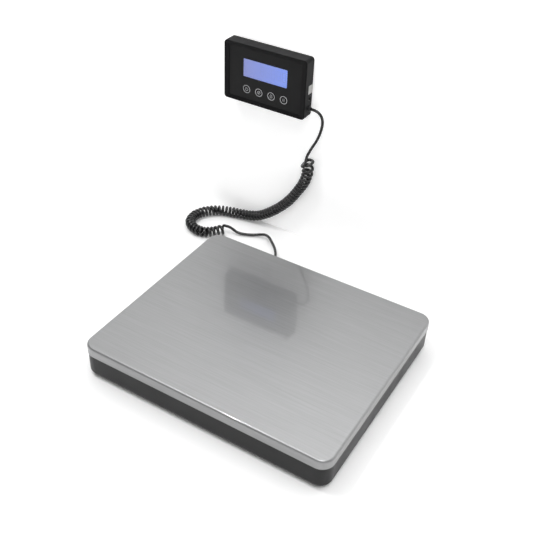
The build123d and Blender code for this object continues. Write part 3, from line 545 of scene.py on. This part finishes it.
def metal(name, color, roughness):
    """Plated metal with a faint mottle."""
    made, tree, shader = start_material(name, color, roughness, metallic=1.0)
    mottle = noise(tree, MOTTLE_SCALE, 4.0)
    tree.links.new(ramp(tree, mottle, roughness - 0.06, roughness + 0.08), shader.inputs["Roughness"])
    bump(tree, shader, mottle, MOTTLE_RELIEF, MOTTLE_DEPTH)
    return made


def clear_window(name):
    """The clear window over the display glass."""
    made, tree, shader = start_material(name, WINDOW_TINT, 0.03)
    shader.inputs["Transmission Weight"].default_value = 1.0
    shader.inputs["IOR"].default_value = WINDOW_IOR
    smears = noise(tree, SMEAR_SCALE)
    tree.links.new(ramp(tree, smears, 0.01, 0.06), shader.inputs["Roughness"])
    return made


def lit_glass(name, strength=0.80):
    """Blue backlit glass, a little more violet at its left end."""
    made, tree, shader = start_material(name, (0.02, 0.02, 0.05), 0.2)
    low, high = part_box("lcd_window")
    source = tree.nodes.new("ShaderNodeTexCoord")
    split = tree.nodes.new("ShaderNodeSeparateXYZ")
    span = tree.nodes.new("ShaderNodeMapRange")
    span.inputs["From Min"].default_value = low.x
    span.inputs["From Max"].default_value = high.x
    tree.links.new(source.outputs["Object"], split.inputs["Vector"])
    tree.links.new(split.outputs["X"], span.inputs["Value"])
    glow = ramp(tree, span.outputs["Result"], LCD_LEFT, LCD_RIGHT, 0.0, 1.0)
    tree.links.new(glow, shader.inputs["Emission Color"])
    shader.inputs["Emission Strength"].default_value = strength
    return made


MAKERS = {
    "brushed_steel_sheet": lambda n: brushed(n, (0.262, 0.264, 0.266), 0.40),
    "base_plastic": lambda n: plastic(n, (0.0035, 0.0035, 0.004), 0.40, specular=0.30),
    "plate_steel": lambda n: metal(n, (0.55, 0.56, 0.57), 0.35),
    "zinc_screw": lambda n: metal(n, (0.66, 0.66, 0.64), 0.28),
    "foam": lambda n: plastic(n, (0.05, 0.05, 0.05), 0.9, 700.0, 0.5),
    "cell_steel": lambda n: metal(n, (0.60, 0.60, 0.60), 0.3),
    "retainer_plastic": lambda n: plastic(n, (0.72, 0.72, 0.68), 0.45),
    "foot_plastic": lambda n: plastic(n, (0.04, 0.04, 0.04), 0.45),
    "foot_rubber": lambda n: plastic(n, (0.03, 0.03, 0.03), 0.75, 900.0, 0.3),
    "circuit_board": lambda n: plastic(n, (0.02, 0.14, 0.06), 0.35, 500.0, 0.1, coat=0.3),
    "socket_plastic": lambda n: plastic(n, (0.74, 0.72, 0.64), 0.45),
    "lead_sheath": lambda n: plastic(n, (0.06, 0.06, 0.06), 0.5),
    "cord_rubber": lambda n: plastic(n, (0.003, 0.003, 0.0034), 0.22, 900.0, 0.04, spread=0.02, specular=0.6),
    "gland_rubber": lambda n: plastic(n, (0.006, 0.006, 0.007), 0.42, 900.0, 0.2, specular=0.35),
    "plate_label": lambda n: plastic(n, (0.62, 0.63, 0.64), 0.35, 600.0, 0.05),
    "white_label": lambda n: plastic(n, (0.34, 0.34, 0.33), 0.5, 800.0, 0.1),
    "case_plastic": lambda n: plastic(n, (0.006, 0.006, 0.0064), 0.46, specular=0.08),
    "overlay_film": lambda n: plastic(n, (0.005, 0.005, 0.0053), 0.38, 500.0, 0.04, specular=0.16),
    "key_rubber": lambda n: plastic(n, (0.005, 0.005, 0.0053), 0.42, 700.0, 0.05, specular=0.16),
    "window_clear": clear_window,
    "lcd_blue": lit_glass,
    "lcd_segment": lambda n: lit_glass(n, 0.64),
    "light_guide": lambda n: plastic(n, (0.75, 0.80, 0.95), 0.3),
    "chip_black": lambda n: plastic(n, (0.03, 0.03, 0.03), 0.4),
    "battery_wrap": lambda n: plastic(n, (0.06, 0.20, 0.10), 0.3, 300.0, 0.03, coat=0.4),
    "contact_steel": lambda n: metal(n, (0.70, 0.70, 0.68), 0.22),
    "jack_plastic": lambda n: plastic(n, (0.02, 0.02, 0.02), 0.4),
    "bracket_plastic": lambda n: plastic(n, (0.04, 0.04, 0.04), 0.45),
    "key_print": lambda n: plastic(n, (0.72, 0.73, 0.75), 0.5, 900.0, 0.05),
}
made_materials = {}


def material(name):
    """The material of a slot, made once."""
    if name not in made_materials:
        made_materials[name] = MAKERS[name](name)
    return made_materials[name]


def dress_cad_nodes():
    """Gives each CAD node the material of its slot."""
    for part in frame["record"]["subparts"]:
        for slot in nodes[part["node"]].material_slots:
            slot.material = material(part["material_slot"])


# ------------------------------------------------------------------ stage, light and camera
STAGE_REACH = 6.0
WALL_GAP = 0.0005            # between the bracket and the wall
WALL_FOOT = 0.001            # of the wall below the floor
FLOOR_GLOW = 0.02
# The wall's emission is a painted pool of light, brightest at one place and fading with distance from it.
PAINTED_GLOW_LOW = 0.25              # painted glow of the wall far from the place where it is brightest
PAINTED_GLOW_HIGH = 1.20
PAINTED_GLOW_AT = (0.05, 0.62)       # x and z of the place where the wall's painted glow is brightest
PAINTED_GLOW_REACH = 0.55


def stage_material(name):
    """Matt white that is clear from behind; returns the material and its shader."""
    made, tree, shader = start_material(name, (0.86, 0.86, 0.86), 0.9)
    tree.links.new(ramp(tree, noise(tree, 3.0, 2.0), 0.85, 0.87), shader.inputs["Base Color"])
    shader.inputs["Emission Color"].default_value = (*as_color(FLOOR_GLOW), 1.0)
    shader.inputs["Emission Strength"].default_value = 1.0
    geometry = tree.nodes.new("ShaderNodeNewGeometry")
    clear = tree.nodes.new("ShaderNodeBsdfTransparent")
    mix = tree.nodes.new("ShaderNodeMixShader")
    tree.links.new(geometry.outputs["Backfacing"], mix.inputs["Fac"])
    tree.links.new(shader.outputs["BSDF"], mix.inputs[1])
    tree.links.new(clear.outputs["BSDF"], mix.inputs[2])
    tree.links.new(mix.outputs["Shader"], tree.nodes["Material Output"].inputs["Surface"])
    return made, shader


def painted_glow_wall_material(name, wall_y):
    """The wall's white, with a painted pool of light: its emission is brightest round one place and fades
    away from it.
    """
    made, shader = stage_material(name)
    tree = made.node_tree
    source = tree.nodes.new("ShaderNodeTexCoord")
    away = tree.nodes.new("ShaderNodeVectorMath")
    away.operation = "DISTANCE"
    away.inputs[1].default_value = (PAINTED_GLOW_AT[0], wall_y, PAINTED_GLOW_AT[1])
    tree.links.new(source.outputs["Object"], away.inputs[0])
    # painted light: the wall's emission falls off with distance from one place
    painted_glow = ramp(tree, away.outputs["Value"], PAINTED_GLOW_HIGH, PAINTED_GLOW_LOW, 0.0, PAINTED_GLOW_REACH)
    tree.links.new(painted_glow, shader.inputs["Emission Color"])
    return made


def flat_sheet(name, corners, look):
    """A flat four-cornered sheet with a material."""
    sheet = new_object(name, corners, [(0, 1, 2, 3)])
    sheet.data.materials.append(look)
    return sheet


def stage():
    """A pale floor, and the wall behind the display."""
    wall_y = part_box("wall_bracket")[1].y + WALL_GAP
    far = STAGE_REACH
    floor_corners = [(-far, -far, 0), (far, -far, 0), (far, far, 0), (-far, far, 0)]
    wall_corners = [(-far, wall_y, -WALL_FOOT), (far, wall_y, -WALL_FOOT), (far, wall_y, far),
                    (-far, wall_y, far)]
    floor = flat_sheet("floor", floor_corners, stage_material("floor_white")[0])
    wall = flat_sheet("wall", wall_corners, painted_glow_wall_material("wall_white_painted_glow", wall_y))


def area_light(name, place, target, size, power):
    """A square soft light that looks at a target."""
    data = bpy.data.lights.new(name, "AREA")
    data.shape = "SQUARE"
    data.size = size
    data.energy = power
    light = bpy.data.objects.new(name, data)
    light.location = place
    light.rotation_euler = (Vector(target) - Vector(place)).to_track_quat("-Z", "Y").to_euler()
    scene.collection.objects.link(light)


LIGHTS = {                   # place, target, size in metres, and power in watts
    "overhead": ((0.1, -0.1, 2.2), (0.0, 0.0, 0.0), 2.6, 28.0),
    "key_light": ((0.6, -0.9, 1.9), (-0.1, 0.1, 0.1), 0.9, 12.0),
    "small_lamp": ((-0.55, -0.35, 1.6), (-0.1, 0.15, 0.1), 0.12, 6.0),
}
ROOM_LOW = 0.75              # brightness of the room at the horizon, and overhead
ROOM_HIGH = 0.35
ROOM_TOP = 0.6               # height of a direction, up to 1, above which the room is evenly dim


def lights():
    """An overhead softbox, a soft key from the front right, a small lamp from the left, and a dim room."""
    for name, settings in LIGHTS.items():
        area_light(name, *settings)
    world = bpy.data.worlds.new("room")
    scene.world = world
    world.use_nodes = True
    tree = world.node_tree
    source = tree.nodes.new("ShaderNodeTexCoord")
    split = tree.nodes.new("ShaderNodeSeparateXYZ")
    tree.links.new(source.outputs["Generated"], split.inputs["Vector"])
    shade = ramp(tree, split.outputs["Z"], ROOM_LOW, ROOM_HIGH, 0.0, ROOM_TOP)
    tree.links.new(shade, tree.nodes["Background"].inputs["Color"])


def camera():
    """The photograph's view."""
    data = bpy.data.cameras.new("camera")
    data.lens = LENS
    data.sensor_width = SENSOR_W
    view = bpy.data.objects.new("camera", data)
    view.location = CAMERA_AT
    view.rotation_euler = Euler([math.radians(a) for a in CAMERA_TURN], "XYZ")
    scene.collection.objects.link(view)
    scene.camera = view


scene.view_settings.view_transform = "Standard"
camera()
cord()
key_prints()
lcd_digits()
strain_reliefs()
dress_cad_nodes()
stage()
lights()
